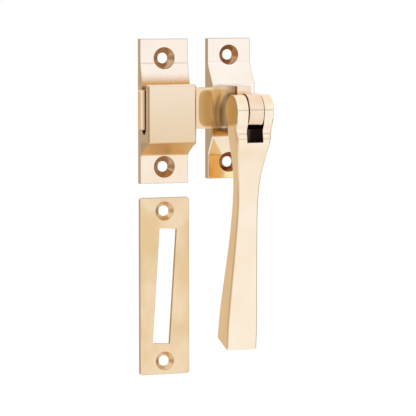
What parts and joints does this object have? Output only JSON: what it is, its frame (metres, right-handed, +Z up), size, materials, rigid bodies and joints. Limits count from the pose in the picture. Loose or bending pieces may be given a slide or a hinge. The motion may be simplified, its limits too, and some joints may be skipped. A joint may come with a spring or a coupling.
{
  "type": "reversible casement window fastener with hook and mortice plates",
  "caption": "Cast brass casement window fastener: turning nose with a hinged wedge handle on a base plate, with a hook plate and a mortice plate as keeps.",
  "frame": {"origin": "on the nose pivot's axis, at the back face of the base plate, which lies against the sash", "axes": "+X across the window, away from the nose and the keeps; +Y into the sash; +Z up, with the handle hanging towards -Z at rest"},
  "size_m": [0.0491, 0.034, 0.1334],
  "materials": {
    "brass_base": "polished cast brass",
    "brass_nose": "polished cast brass",
    "brass_handle": "polished cast brass",
    "brass_hook": "polished cast brass",
    "brass_mortice": "satin brass plate",
    "steel_rivet": "plain steel, riveted end",
    "steel_washer": "zinc plated steel",
    "steel_spring": "spring steel",
    "steel_pin": "ground steel"
  },
  "bodies": {
    "plates": {"base_plate": "brass_base", "hook_plate": "brass_hook", "mortice_plate": "brass_mortice", "plain_washer": "steel_washer", "spring_washer": "steel_spring"},
    "nose": {"nose_arm": "brass_nose", "pivot_rivet": "steel_rivet"},
    "lever": {"handle": "brass_handle", "hinge_pin": "steel_pin"}
  },
  "joints": [
    {"name": "nose_turn", "type": "hinge", "parent": "plates", "child": "nose", "pos_m": [0, 0, 0], "axis": [0, 1, 0], "range_deg": [0, 90]},
    {"name": "handle_flip", "type": "hinge", "parent": "nose", "child": "lever", "pos_m": [0, -0.027, 0], "axis": [-1, 0, 0], "range_deg": [0, 197]}
  ]
}
